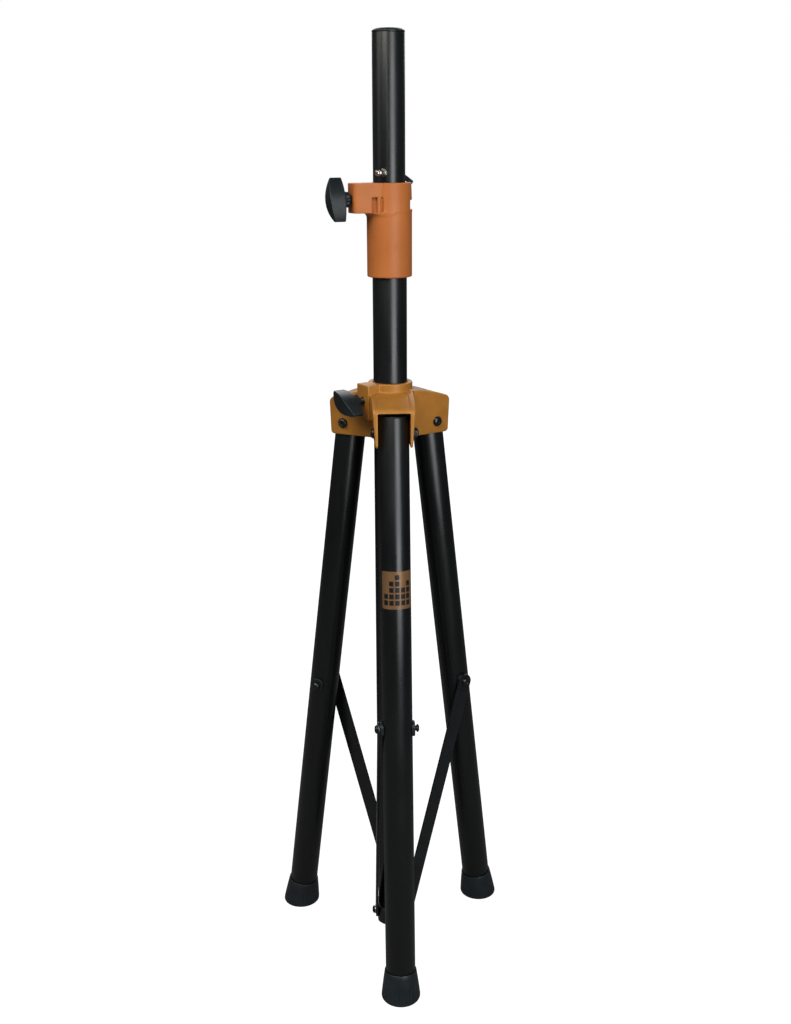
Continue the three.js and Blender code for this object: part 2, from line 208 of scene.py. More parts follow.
def surface(
    name, dark, light, rough, metallic=0.0, specular=0.5, mottle=30.0, stretch=None,
    grain=900.0, bump=0.1, worn=None, wear=0.0,
):
    """A finish with mottled colour, uneven gloss and a fine grain; worn is the colour that
    rubbed edges turn to, and wear how far."""
    material = bpy.data.materials.new(name)
    material.use_nodes = True
    tree = material.node_tree
    tree.nodes.clear()
    place = tree.nodes.new("ShaderNodeTexCoord").outputs["Object"]
    blotch = noise(tree, place, mottle, stretch=stretch)
    colour = blend_colours(tree, remap(tree, blotch, 0, 1), dark, light)
    if worn:
        edge = tree.nodes.new("ShaderNodeNewGeometry").outputs["Pointiness"]
        patchy = remap(tree, noise(tree, place, 260), 0.2, 1)
        rubbed = remap(tree, edge, 0, wear, from_low=0.52, from_high=0.6)
        amount = add_node(tree, "ShaderNodeMath")
        amount.operation = "MULTIPLY"
        tree.links.new(rubbed, amount.inputs[0])
        tree.links.new(patchy, amount.inputs[1])
        colour = blend_colours(tree, amount.outputs[0], colour, worn)
    fine = noise(tree, place, grain, 4)
    gloss = remap(
        tree, noise(tree, place, mottle * 6, 4, stretch), rough - GLOSS_SPREAD, rough + GLOSS_SPREAD
    )
    relief = add_node(tree, "ShaderNodeBump", Height=fine, Strength=bump, Distance=GRAIN_DEPTH)
    shader = add_node(
        tree, "ShaderNodeBsdfPrincipled", Base_Color=colour, Roughness=gloss, Metallic=metallic,
        Specular_IOR_Level=specular, Normal=relief.outputs["Normal"],
    )
    output = tree.nodes.new("ShaderNodeOutputMaterial")
    tree.links.new(shader.outputs["BSDF"], output.inputs["Surface"])
    return material


LOOKS = {
    "black_tube": surface(
        "tube_powder_coat", (0.0022, 0.0025, 0.0028), (0.0036, 0.0041, 0.0046), 0.31, specular=0.5,
        mottle=14, stretch=6, grain=1500, bump=0.12,
    ),
    "black_steel": surface(
        "black_oxide", (0.004, 0.0045, 0.005), (0.008, 0.009, 0.010), 0.27, specular=0.5,
        mottle=60, grain=1800, bump=0.12, worn=(0.024, 0.027, 0.031), wear=0.5,
    ),
    "black_plastic": surface(
        "moulded_black", (0.0055, 0.0085, 0.0095), (0.0095, 0.0135, 0.015), 0.4, specular=0.35,
        mottle=45, grain=2600, bump=0.25, worn=(0.045, 0.055, 0.06), wear=0.5,
    ),
    "foot_rubber": surface(
        "foot_rubber", (0.0065, 0.0105, 0.0125), (0.0115, 0.0175, 0.0205), 0.4, specular=0.45,
        mottle=70, grain=2200, bump=0.3, worn=(0.05, 0.055, 0.06), wear=0.4,
    ),
    "orange_plastic": surface(
        "orange_moulding", (0.38, 0.115, 0.027), (0.435, 0.135, 0.033), 0.44, specular=0.24,
        mottle=28, grain=2400, bump=0.2, worn=(0.62, 0.24, 0.09), wear=0.45,
    ),
    "gold_casting": surface(
        "golden_casting_paint", (0.317, 0.127, 0.0175), (0.385, 0.161, 0.0255), 0.44, metallic=0.1,
        specular=0.32, mottle=42, grain=1300, bump=0.3, worn=(0.68, 0.36, 0.09), wear=0.6,
    ),
    "bright_steel": surface(
        "zinc_plate", (0.52, 0.49, 0.42), (0.66, 0.63, 0.57), 0.24, metallic=1.0,
        mottle=160, grain=3000, bump=0.2,
    ),
    "brass": surface(
        "turned_brass", (0.55, 0.38, 0.15), (0.68, 0.5, 0.24), 0.3, metallic=1.0,
        mottle=160, grain=3000, bump=0.2,
    ),
    "nylon": surface(
        "black_nylon", (0.02, 0.02, 0.021), (0.032, 0.032, 0.034), 0.55, specular=0.4,
        mottle=80, grain=2500, bump=0.3,
    ),
    "badge_print": surface(
        "bronze_label", (0.15, 0.078, 0.034), (0.2, 0.105, 0.045), 0.34, metallic=0.2,
        specular=0.4, mottle=90, stretch=8, grain=4000, bump=0.1,
    ),
    "badge_ink": surface(
        "label_ink", (0.006, 0.006, 0.007), (0.010, 0.010, 0.012), 0.4, specular=0.3,
        mottle=200, grain=4000, bump=0.1,
    ),
}


# ---------- meshes ----------
SHARP = 32  # degrees between faces that are shaded as an edge
SHARP_SOLID = 45  # the same on a solid made from a field


def add_mesh(name, points, faces, place, look, sharp=SHARP):
    """A closed skin of points (millimetres in the frame place) and faces, facing out."""
    matrix = np.array(place)
    world = np.asarray(points, float) @ matrix[:3, :3].T + matrix[:3, 3]
    mesh = bpy.data.meshes.new(name)
    mesh.from_pydata(world.tolist(), [], faces)
    tidy = bmesh.new()
    tidy.from_mesh(mesh)
    bmesh.ops.recalc_face_normals(tidy, faces=tidy.faces)
    tidy.to_mesh(mesh)
    tidy.free()
    mesh.shade_smooth()
    mesh.set_sharp_from_angle(angle=math.radians(sharp))
    mesh.materials.append(LOOKS[look])
    obj = bpy.data.objects.new(name, mesh)
    bpy.context.scene.collection.objects.link(obj)
    return obj


def finished(node, shape, place, sharp=SHARP):
    """A new piece that replaces a CAD node and moves with its body."""
    points, faces = shape
    obj = add_mesh(node + "_finished", points, faces, place, SLOT[node], sharp)
    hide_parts(node)
    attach(obj, BODY[node])
    return obj


def extra(name, shape, place, body, slot, look=None):
    """A new piece that stands for no CAD node."""
    points, faces = shape
    obj = add_mesh(name, points, faces, place, look or slot)
    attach(obj, body)


def rounded(outline, closed=False, step=12):
    """An outline of [x, y, radius] with each corner turned into an arc of that radius."""
    done = []
    count = len(outline)
    for i, (x, y, *radius) in enumerate(outline):
        here = np.array((x, y), float)
        if not radius or (not closed and i in (0, count - 1)):
            done.append(here)
            continue
        back = np.array(outline[i - 1][:2]) - here
        on = np.array(outline[(i + 1) % count][:2]) - here
        back /= np.linalg.norm(back)
        on /= np.linalg.norm(on)
        half = math.acos(np.clip(back @ on, -1, 1)) / 2
        centre = here + (back + on) / np.linalg.norm(back + on) * radius[0] / math.sin(half)
        start = here + back * radius[0] / math.tan(half) - centre
        end = here + on * radius[0] / math.tan(half) - centre
        first = math.atan2(start[1], start[0])
        sweep = (math.atan2(end[1], end[0]) - first + math.pi) % (2 * math.pi) - math.pi
        parts = max(2, math.ceil(abs(math.degrees(sweep)) / step))
        for k in range(parts + 1):
            angle = first + sweep * k / parts
            done.append(centre + radius[0] * np.array((math.cos(angle), math.sin(angle))))
    return np.array(done)


def skin(rings, closed=False):
    """Points and faces over a row of rings; a ring of one point is a tip. Open ends are capped."""
    starts = np.cumsum([0] + [len(ring) for ring in rings])
    faces = []
    pairs = [(i, i + 1) for i in range(len(rings) - 1)]
    if closed:
        pairs.append((len(rings) - 1, 0))
    for a, b in pairs:
        count = max(len(rings[a]), len(rings[b]))
        for j in range(count):
            k = (j + 1) % count
            face = []
            for ring, step in ((a, j), (a, k), (b, k), (b, j)):
                point = int(starts[ring]) + (step if len(rings[ring]) > 1 else 0)
                if point not in face:
                    face.append(point)
            faces.append(face)
    if not closed:
        for ring in (0, len(rings) - 1):
            if len(rings[ring]) > 1:
                faces.append(list(range(int(starts[ring]), int(starts[ring + 1]))))
    return np.concatenate(rings), faces


def circle(sides):
    angle = np.arange(sides) * 2 * math.pi / sides
    return angle, np.cos(angle), np.sin(angle)


def ring_at(radius, z, sides):
    """A ring about Z; radius and z may vary round it."""
    _, c, s = circle(sides)
    return np.stack((radius * c, radius * s, np.broadcast_to(z, sides)), 1).astype(float)


def turned(profile, sides=96, closed=False):
    """A profile [radius, z] turned about Z."""
    rings = []
    for radius, z in profile:
        rings.append(np.array([[0, 0, z]], float) if radius < 1e-6 else ring_at(radius, z, sides))
    return skin(rings, closed)


def pipe(inner, outer, low, high, edge=0.35, sides=96):
    profile = [
        [outer, low, edge], [outer, high, edge], [inner, high, edge / 2], [inner, low, edge / 2],
    ]
    return turned(rounded(profile, closed=True, step=30), sides, closed=True)


# ---------- rounded solids from distance fields ----------
# A field gives each point's distance to the solid's surface, negative inside.
def meet(a, b, r):
    """Where two solids overlap, its outer edge rounded to radius r."""
    over = np.hypot(np.maximum(a + r, 0), np.maximum(b + r, 0))
    return np.minimum(np.maximum(a, b), -r) + over


def fuse(a, b, r):
    """Two solids as one, with a fillet of radius r between them."""
    under = np.hypot(np.maximum(r - a, 0), np.maximum(r - b, 0))
    return np.maximum(np.minimum(a, b), r) - under


def carve(a, b, r):
    """The first solid less the second, the cut's edge rounded to radius r."""
    return meet(a, -b, r)


def slab(value, low, high):
    """The layer between two values."""
    return np.abs(value - (low + high) / 2) - (high - low) / 2


def aside(x, y, azimuth):
    """Distance outwards along an azimuth, and sideways from it."""
    c, s = math.cos(math.radians(azimuth)), math.sin(math.radians(azimuth))
    return x * c + y * s, y * c - x * s


def swell(value, low, high):
    """0 below low, 1 above high, smooth between."""
    part = np.clip((value - low) / (high - low), 0, 1)
    return part * part * (3 - 2 * part)


def settle(field, points, rounds=3):
    """Moves points onto the surface of a field."""
    eps = 0.02
    for _ in range(rounds):
        probes = np.eye(3) * eps
        slope = np.stack([(field(points + d) - field(points - d)) / (2 * eps) for d in probes], 1)
        size = np.maximum((slope ** 2).sum(1), 0.2)
        move = -slope * (field(points) / size)[:, None]
        points = points + np.clip(move, -0.5, 0.5)
    return points


def solid(field, low, high, step):
    """Points and faces of the surface of a field, one point to each grid cell it passes."""
    step = step * COARSE
    low = np.array(low, float)
    counts = np.ceil((np.array(high) - low) / step).astype(int) + 1
    lines = [low[k] + step * np.arange(counts[k]) for k in range(3)]
    grid = np.stack(np.meshgrid(*lines, indexing="ij"), -1).reshape(-1, 3)
    values = field(grid).reshape(counts)
    cells = counts - 1
    total = np.zeros((cells.prod(), 3))
    hits = np.zeros(cells.prod())
    faces = []
    for axis in range(3):
        b, c = (axis + 1) % 3, (axis + 2) % 3
        near = np.take(values, range(counts[axis] - 1), axis)
        far = np.take(values, range(1, counts[axis]), axis)
        edge = np.argwhere((near < 0) != (far < 0))
        key = tuple(edge.T)
        place = edge.astype(float)
        place[:, axis] += near[key] / (near[key] - far[key])
        around = []
        for db, dc in ((-1, -1), (0, -1), (0, 0), (-1, 0)):
            cell = edge.copy()
            cell[:, b] += db
            cell[:, c] += dc
            index = np.ravel_multi_index(cell.T, cells)
            hits += np.bincount(index, minlength=len(hits))
            for k in range(3):
                total[:, k] += np.bincount(index, place[:, k], len(hits))
            around.append(index)
        faces.append(np.stack(around, 1))
    used = np.flatnonzero(hits)
    points = low + step * total[used] / hits[used, None]
    number = np.zeros(len(hits), int)
    number[used] = np.arange(len(used))
    return settle(field, points), number[np.concatenate(faces)].tolist()


# ---------- pole ----------
def drilled(obj, cutters):
    """Cuts the cutters' shape out of obj and throws the cutters away."""
    cut = obj.modifiers.new("holes", "BOOLEAN")
    cut.operation = "DIFFERENCE"
    cut.object = cutters
    done = bpy.data.meshes.new_from_object(obj.evaluated_get(bpy.context.evaluated_depsgraph_get()))
    obj.modifiers.clear()
    obj.data = done
    bpy.data.objects.remove(cutters)


def hole_rim(height, side):
    """The bare-metal edge of a pin hole, following the pole's wall."""
    rings = []
    profile = rounded(
        [[3.35, -1, 0.1], [3.35, 0.16, 0.12], [4.1, 0.12, 0.1], [4.1, -1, 0.1]], closed=True, step=30
    )
    _, c, s = circle(48)
    for radius, lift in profile:
        across = radius * c
        out = side * (np.sqrt(POLE_R ** 2 - across ** 2) + lift)
        rings.append(np.stack((out, across, height + radius * s), 1))
    return skin(rings, closed=True)


def join_shapes(shapes):
    """Several shapes as one."""
    points, faces, start = [], [], 0
    for some_points, some_faces in shapes:
        points.append(some_points)
        faces += [[start + corner for corner in face] for face in some_faces]
        start += len(some_points)
    return np.concatenate(points), faces


def make_pole():
    wall = pipe(POLE_R - WALL, POLE_R, POLE_BOTTOM, POLE_TOP, sides=128)
    tube = finished("pole_tube", wall, STAND)
    end = POLE_R + 7.5
    drill, drill_faces = turned([[0, -end], [PIN_HOLE_R, -end], [PIN_HOLE_R, end], [0, end]], 40)
    along, across, up = drill[:, 2], drill[:, 1], drill[:, 0]
    drills = [(np.stack((along, across, up + z), 1), drill_faces) for z in PIN_HOLES]
    points, faces = join_shapes(drills)
    place = STAND @ turn(PIN_AZIMUTH, "Z")
    cutters = add_mesh("drill", points, faces, place, "black_tube")
    drilled(tube, cutters)
    tube.data.set_sharp_from_angle(angle=math.radians(SHARP))
    rims = join_shapes([hole_rim(z, side) for z in PIN_HOLES for side in (-1, 1)])
    extra("pin_hole_rims", rims, place, "pole", "bright_steel")

    low, high = corners("pole_top_cap")
    rim = POLE_TOP + CLEAR
    plug_r = POLE_R - WALL - CLEAR
    cap = [
        [0, low[2]], [plug_r, low[2], 0.4], [plug_r, rim, 0.2],
        [POLE_R, rim, 0.3], [POLE_R, rim + 1.8, 1.0], [POLE_R - 3.5, rim + 3.9, 6], [0, high[2]],
    ]
    finished("pole_top_cap", turned(rounded(cap)), STAND)


def swept(stations, sides=32):
    """A round bar in the XZ plane: at each station its x, z, heading below +X and radius."""
    _, c, s = circle(sides)
    rings = []
    for x, z, heading, radius in stations:
        if radius < 1e-6:
            rings.append(np.array([[x, 0, z]]))
            continue
        along, up = math.sin(heading) * radius * c, math.cos(heading) * radius * c
        rings.append(np.stack((x + along, radius * s, z + up), 1))
    return skin(rings)


def make_lock_pin():
    # The bar runs along X through the pole, then bends down and thins into its arm.
    tip = rounded([
        [0, -37], [1.7, -37, 0.7], [PIN_R, -35.8, 1], [PIN_R, -33.1, 0.5], [2.1, -32.5, 0.3],
        [2.1, -31.5, 0.3], [PIN_R, -31, 0.4], [PIN_R, -29],
    ])
    reach, bend, arm_r = 27.0, 4.2, 1.8
    stations = [(x, 0, 0, radius) for radius, x in tip]
    stations += [(x, 0, 0, PIN_R) for x in (-20, -10, 0, 10, 18, reach - bend)]
    for angle in np.linspace(0, math.pi / 2, 10)[1:]:
        x = reach - bend + bend * math.sin(angle)
        radius = PIN_R - (PIN_R - arm_r) * min(1, angle)
        stations.append((x, bend * (math.cos(angle) - 1), angle, radius))
    stations += [(reach, -down, math.pi / 2, arm_r) for down in (6, 12, 18.5)]
    pin = STAND @ shift(0, 0, PIN_Z) @ turn(PIN_AZIMUTH, "Z")
    lay = turn(-55, "X")  # the arm leans over sideways
    finished("lock_pin", swept(stations), pin @ lay)
    sleeve = rounded([
        [0, -20.3], [2.6, -20.3, 0.4], [2.75, -12, 5], [2.6, -4.4, 0.5], [1.85, -3.9],
        [1.85, -19.1], [0, -19.1],
    ])
    finished("pin_grip", turned(sleeve, 40), pin @ lay @ shift(reach, 0, 0))


# ---------- fasteners, made along Z with the head up ----------
def hexagon(flat, sides):
    """Radius of a hexagon of that half-width across flats, round a ring."""
    angle, _, _ = circle(sides)
    within = (angle + math.pi / 6) % (math.pi / 3) - math.pi / 6
    return flat / np.cos(within)


def button_bolt(seat, end, radius=5.8, height=3.5, socket=2.0):
    """A button head on seat, with a hexagon socket; the shank runs down to end."""
    sides = 72
    outline = rounded([
        [BOLT_R, end + 0.6], [BOLT_R, seat], [radius, seat, 0.25],
        [radius, seat + height * 0.28, 0.5], [radius * 0.8, seat + height * 0.8, 2.4],
        [radius * 0.45, seat + height],
    ])
    rings = [ring_at(BOLT_R - 0.6, end, sides)] + [ring_at(r, z, sides) for r, z in outline]
    top = seat + height
    rings.append(ring_at(hexagon(socket, sides) + 0.25, top, sides))
    rings.append(ring_at(hexagon(socket, sides), top - 0.2, sides))
    rings.append(ring_at(hexagon(socket, sides), top - 1.9, sides))
    rings.append(np.array([[0, 0, top - 2.4]]))
    return skin(rings)


def hex_nut(seat, height, flat=5.0):
    """A nut with its six corners chamfered at both faces."""
    sides = 72
    full = hexagon(flat, sides)
    rings = []
    chamfer = ((0.75, 0), (0.35, 0.2), (0, 0.55))
    far_chamfer = ((0, height - 0.75), (0.35, height - 0.25), (0.8, height))
    for inset, z in chamfer + far_chamfer:
        limit = flat / math.cos(math.pi / 6) - inset
        rings.append(ring_at(np.minimum(full, limit), seat + z, sides))
    rings.append(ring_at(3.35, seat + height, sides))
    rings.append(ring_at(3.05, seat + height - 0.5, sides))
    rings.append(ring_at(3.05, seat, sides))
    return skin(rings, closed=True)


def threaded(radius, low, high, pitch=1.25, sides=36):
    """A screw with a real helix, run out at both ends."""
    angle, _, _ = circle(sides)
    rings = [ring_at(radius - 0.9, low, sides)]
    for z in np.arange(low + 0.2, high - 0.2, pitch / 6):
        phase = (z / pitch - angle / (2 * math.pi)) % 1
        depth = 0.72 * (1 - np.abs(2 * phase - 1))
        runout = np.clip(min(z - low, high - z) / pitch, 0.2, 1)
        rings.append(ring_at(radius - 0.75 * (1 - runout) - depth * runout, z, sides))
    rings.append(ring_at(radius - 0.9, high, sides))
    return skin(rings)


def facing(side):
    """Lays a fastener made along Z so that its head points to +Y or -Y."""
    return SIDEWAYS if side > 0 else turn(90, "X")


# ---------- clamps ----------
def wing_knob(p):
    """A wing on a fluted neck. X is the screw's axis, Z runs along the wing, which is a lens
    with blunt ends when it is seen along the screw."""
    x, y, z = p.T
    half, tip, belly = 23.6, 0.9, 7.8
    crown = np.hypot(x + 33.1, z) - 59.1
    lens = (np.abs(y) - tip - belly * (1 - (z / (half + 0.6)) ** 2)) * 0.87
    blade = meet(meet(crown, 8.5 - x, 0.9), np.abs(z) - half, 0.8)
    blade = meet(blade, lens, 0.7)
    around = np.hypot(y, z)
    flute = 0.35 * np.cos(10 * np.arctan2(z, y)) * swell(around, 4, 7)
    cone = (around - np.clip(4.5 + (x - 0.6) * 1.1, 4.5, 8)) * 0.8 + flute
    neck = meet(cone, slab(x, 0.6, 13), 0.6)
    body = fuse(blade, neck, 0.8)
    return carve(body, meet(around - 4.3, slab(x, -2, 18), 0.2), 0.2)


def knurled_insert(face):
    """A bush along Z with a knurled outside, its upper end just under face."""
    sides = 60
    angle, _, _ = circle(sides)
    knurl = 6.6 - 0.12 * (1 + np.cos(30 * angle))
    section = (
        (4.3, 8.2), (6.2, 8.2), (knurl, 7.8), (knurl, 0.7), (6.2, 0.25), (4.7, 0.25), (4.3, 0.7),
    )
    return skin([ring_at(radius, face - down, sides) for radius, down in section], closed=True)


def make_clamp(prefix, tube_r, boss, knob):
    """Knob, screw, insert and the pad that presses on the tube."""
    place = boss_frame(boss)
    seat = boss["reach"] + boss["gap"]
    finished(prefix + "_knob", knob, place @ turn(-boss["spin"], "X") @ shift(seat, 0, 0), 40)
    screw_r, into_knob = 4.0, 17.4
    screw = threaded(screw_r, tube_r + 4.8, seat + into_knob)
    finished(prefix + "_screw", screw, place @ OUTWARDS, 50)
    insert = knurled_insert(boss["reach"] - BOSS_LIP)
    finished(prefix + "_insert", insert, place @ OUTWARDS)
    near, far, pad_r = tube_r + 0.35, tube_r + 4.4, 5.8
    pad = rounded([[0, near], [pad_r, near, 0.4], [pad_r, far, 0.5], [0, far]])
    finished(prefix + "_clamp_pad", turned(pad, 48), place @ OUTWARDS)


def screw_hole(u, t, z, reach):
    """The hole through a boss: wide for pad and insert, narrow at the boss's face."""
    radius = np.hypot(t, z)
    wide = np.maximum(radius - BOSS_HOLE_R, u - reach + BOSS_LIP)
    return np.maximum(np.minimum(wide, radius - 4.5), 10 - u)


# ---------- collar ----------
def collar(p):
    """Heights are from the collar's lower end; the mast's axis is the centre."""
    x, y, z = p.T
    around = np.hypot(x, y)
    band_low, top = 69.0, 100
    sleeve = meet(around - 24.7, slab(z, 0, band_low + 2), 1.5)
    band = meet(around - 25.05 + (z - band_low) * 0.034, slab(z, band_low, top), 0.8)
    u, t = aside(x, y, COLLAR_BOSS["azimuth"])
    half = 20.6 - (u - 6.2) * 0.275
    sides = (np.abs(t) - half) * 0.955
    boss = meet(meet(sides, u - COLLAR_BOSS["reach"], 3), slab(z, band_low - 0.4, top), 0.9)
    boss = np.maximum(boss, 3 - u)
    body = np.minimum(sleeve, band)
    fillet = 6.0
    body = np.minimum(body, fuse(np.maximum(sleeve, 4 - u), boss, fillet))
    pocket = meet(slab(x, -20.3, -7.7), slab(z, band_low + 0.6, 85.3), 1.2)
    floor = np.maximum(22.6 - around, y + 17.6 + 0.25 * (x + 20))
    pocket = meet(pocket, floor, 0.8)
    body = carve(body, pocket, 0.5)
    rib = meet(np.hypot(x + 12.2, y + 20.6) - 2.2, slab(z, band_low + 0.6, 85.1), 0.6)
    body = fuse(body, np.maximum(rib, y + 18), 0.5)
    notch = meet(slab(z, 72, 81.8), 22 - x, 0.6)
    body = carve(body, notch, 0.6)
    ledge = MAST_TOP + CLEAR - COLLAR_BOTTOM
    bore = fuse(around - (POLE_R + 0.5), np.maximum(around - (MAST_R + CLEAR), z - ledge), 0.2)
    body = carve(body, bore, 0.6)
    return carve(body, screw_hole(u, t, z - COLLAR_SCREW_Z, COLLAR_BOSS["reach"]), 0.4)


def make_collar():
    shape = solid(collar, (-48, -29, -1.5), (28, 28, 101.5), 0.72)
    finished("collar_housing", shape, STAND @ shift(0, 0, COLLAR_BOTTOM), SHARP_SOLID)


# ---------- hub ----------
def hood_top(u, z):
    """Distance over the hood: a shallow arc that falls away from the ring."""
    centre_u, centre_z, radius = 6.4, -117.0, 157.0
    return np.hypot(u - centre_u, z - centre_z) - radius


def yoke(u, t, z):
    """One of the three forks; u outwards and z up from its pivot's level, t sideways."""
    half, reach = EAR_OUT + DRAFT * (z - YOKE_LOW), 66.5
    panel = swell(18.6 - np.abs(t), 0, 0.8) * swell(u, 29, 30.5) * swell(62.0 - u, 0, 1)
    top = hood_top(u, z) + 0.5 * panel
    outline = meet(meet(YOKE_LOW - z, u - reach, 4), top, 4.5)
    block = meet(outline, np.abs(t) - half, 1.3)
    block = np.maximum(block, 8 - u)
    ceiling = np.interp(u, [19, 59, 62.5, 80], [35, 27, 24.7, 24.7])
    channel = meet(meet((z - ceiling) * 0.97, 19 - u, 1), np.abs(t) - EAR_IN, 1.2)
    return carve(block, channel, 0.5)


def hub(p):
    """The casting, with heights from the pivots' level."""
    x, y, z = p.T
    around = np.hypot(x, y)
    sleeve = meet(around - 22.5, slab(z, YOKE_LOW, 40), 0.9)
    ring = meet(around - 25, slab(z, 36.5, 49), 1.3)
    body = fuse(sleeve, ring, 1.5)
    for azimuth in LEGS.values():
        u, t = aside(x, y, azimuth)
        body = fuse(body, yoke(u, t, z), 2.2)
    u, t = aside(x, y, HUB_BOSS["azimuth"])
    block = meet(slab(u, 14, HUB_BOSS["reach"]), np.abs(t) - 12, 1.2)
    block = meet(block, slab(z, 9, 48.5), 1.0)
    body = fuse(body, block, 1.2)
    body = carve(body, around - (MAST_R + CLEAR), 1.2)
    hole_r = BOLT_R + CLEAR
    for azimuth in LEGS.values():
        out, _ = aside(x, y, azimuth)
        hole = np.maximum(np.hypot(out - PIVOT_R, z) - hole_r, 12 - out)
        body = carve(body, hole, 0.3)
    return carve(body, screw_hole(u, t, z - HUB_SCREW_Z, HUB_BOSS["reach"]), 0.4)


def make_hub():
    shape = solid(hub, (-72, -70, -16), (72, 57, 51), 0.85)
    finished("hub_casting", shape, STAND @ shift(0, 0, PIVOT_Z), SHARP_SOLID)


# ---------- foot of the mast ----------
def bracket(p):
    """A drum with a flat for each strut, and a spigot that goes up into the mast."""
    x, y, z = p.T
    around = np.hypot(x, y)
    low, high = BRACKET_BOTTOM, MAST_BOTTOM - CLEAR
    body = meet(around - 22.4, slab(z, low, high), 1.0)
    for azimuth in LEGS.values():
        _, t = aside(x, y, azimuth)
        body = meet(body, -t - (STRUT_FACE - CLEAR), 0.8)
    spigot = meet(around - (MAST_R - WALL - CLEAR), slab(z, low + 4, high + 17), 0.6)
    body = fuse(body, spigot, 0.3)
    return carve(body, around - 12, 0.8)


def make_mast():
    wall = pipe(MAST_R - WALL, MAST_R, MAST_BOTTOM, MAST_TOP, sides=128)
    finished("mast_tube", wall, STAND)
    shape = solid(bracket, (-24, -24, 12.5), (24, 24, 56), 0.6)
    finished("mast_end_bracket", shape, STAND, 40)
    low, high = corners("pole_bottom_bush")
    inner = POLE_R - WALL - CLEAR
    lip = POLE_BOTTOM - CLEAR
    bush = rounded([
        [POLE_R, low[2], 0.6], [POLE_R, lip, 0.3], [inner, lip, 0.2], [inner, high[2], 0.6],
        [inner - 2, high[2], 0.4], [inner - 2, low[2], 0.6],
    ], closed=True)
    finished("pole_bottom_bush", turned(bush, 64, closed=True), STAND)


# ---------- legs ----------
def foot_rings():
    """A fluted rubber cup whose sole is level while the leg leans."""
    sides = 192
    angle, c, _ = circle(sides)
    tilt = math.radians(LEG_TILT)
    top, shoulder_r, sole_r, edge = -636.8, 19.5, 23.0, 2.0
    flutes, flute_depth = 26, 0.5

    def floor(radius):
        return (-PIVOT_Z - radius * c * math.sin(tilt)) / math.cos(tilt)

    collar_rings = (
        (LEG_R + 0.3, TUBE_LOW), (LEG_R + 0.3, top - 0.3), (LEG_R + 0.6, top), (18.5, top),
        (18.9, top - 0.5), (19.0, top - 2.5), (19.35, top - 3.2),
    )
    # the cup's inner floor comes first and closes the top
    rings = [np.array([[0, 0, TUBE_LOW - CLEAR]])]
    rings += [ring_at(radius, z, sides) for radius, z in collar_rings]
    start = top - 5.0
    for part in np.linspace(0, 1, 22):
        z = start + part * (floor(sole_r) + edge - start)
        wall = shoulder_r + (sole_r - shoulder_r) * min(1, part * 1.06) ** 0.9
        groove = np.maximum(np.cos(flutes * angle), -0.35) * flute_depth + 0.18
        fade = swell(part, 0.3, 0.5) * (1 - swell(part, 0.93, 1))
        rings.append(ring_at(wall - groove * fade, z, sides))
    for k in range(1, 6):
        bend = math.pi / 2 * k / 5
        radius = sole_r - edge * (1 - math.cos(bend))
        rings.append(ring_at(radius, floor(radius) + edge * (1 - math.sin(bend)), sides))
    for radius in (18.0, 17.4, 13.0, 12.4, 7.0):
        sunk = 0.8 if radius in (17.4, 13.0) else 0.0
        rings.append(ring_at(radius, floor(radius) + sunk, sides))
    rings.append(np.array([[0, 0, -PIVOT_Z / math.cos(tilt)]]))
    return skin(rings)


def saddle(side):
    """A block that fits a leg's tube on one side, with a flat face for the strut or the nut."""
    def field(p):
        x, y, z = p.T
        face = STRUT_FACE - CLEAR
        plate = meet(slab(x, -8, 8), slab(z, -8.5, 8.5), 6.0)
        block = meet(slab(y * side, 12, face), plate, 0.9)
        return carve(block, np.hypot(x, y) - (LEG_R + CLEAR), 0.3)

    ends = sorted((side * 14.0, side * 21.5))
    return solid(field, (-9.5, ends[0], -10), (9.5, ends[1], 10), 0.42)


def round_nut(seat):
    """A domed nut on a short neck."""
    outline = rounded([
        [3.05, seat + 0.3], [3.05, seat], [3.6, seat, 0.2], [3.6, seat + 0.7, 0.2],
        [4.7, seat + 0.9, 0.4], [4.7, seat + 1.9, 1.2], [3.0, seat + 3.4, 2.0], [0, seat + 3.6],
    ])
    return turned(np.vstack([outline, [[0, seat + 2.4], [3.05, seat + 2.2]]]), 48, closed=True)


def make_leg(leg, shapes):
    place = along_leg(leg)
    finished("leg_tube_" + leg, pipe(LEG_R - WALL, LEG_R, TUBE_LOW, TUBE_HIGH, sides=112), place)
    top = TUBE_HIGH + CLEAR
    inner = LEG_R - WALL - CLEAR
    plug = rounded([
        [0, top - 8], [inner, top - 8, 0.5], [inner, top, 0.1], [LEG_R - 0.3, top, 0.1],
        [LEG_R - 0.9, top + 1, 0.3], [12, top + 1, 0.3], [11.5, top + 0.4, 0.3], [0, top + 0.4],
    ])
    finished("leg_plug_" + leg, turned(plug, 72), place)
    finished("leg_foot_" + leg, shapes["foot"], place, 40)
    knee = place @ shift(0, 0, -KNEE)
    finished("knee_saddle_inner_" + leg, shapes["saddle_inner"], knee, 40)
    finished("knee_saddle_outer_" + leg, shapes["saddle_outer"], knee, 40)
    seat = STRUT_FACE + STRUT_T + CLEAR
    nut_seat = STRUT_FACE + 1.2
    bolt = button_bolt(seat, -nut_seat - 1.9, 5.0, 3.1, 1.6)
    finished("knee_bolt_" + leg, bolt, knee @ facing(-1))
    finished("knee_nut_" + leg, round_nut(nut_seat), knee @ facing(1))


def curved_patch(low_angle, high_angle, low, high, inner, outer):
    """A piece of a thin sleeve round Z, between two angles and two heights."""
    steps = max(2, int((high_angle - low_angle) / 3))
    rings = []
    for angle in np.radians(np.linspace(low_angle, high_angle, steps + 1)):
        c, s = math.cos(angle), math.sin(angle)
        section = ((inner, low), (outer, low), (outer, high), (inner, high))
        rings.append(np.array([[r * c, r * s, z] for r, z in section]))
    return skin(rings)


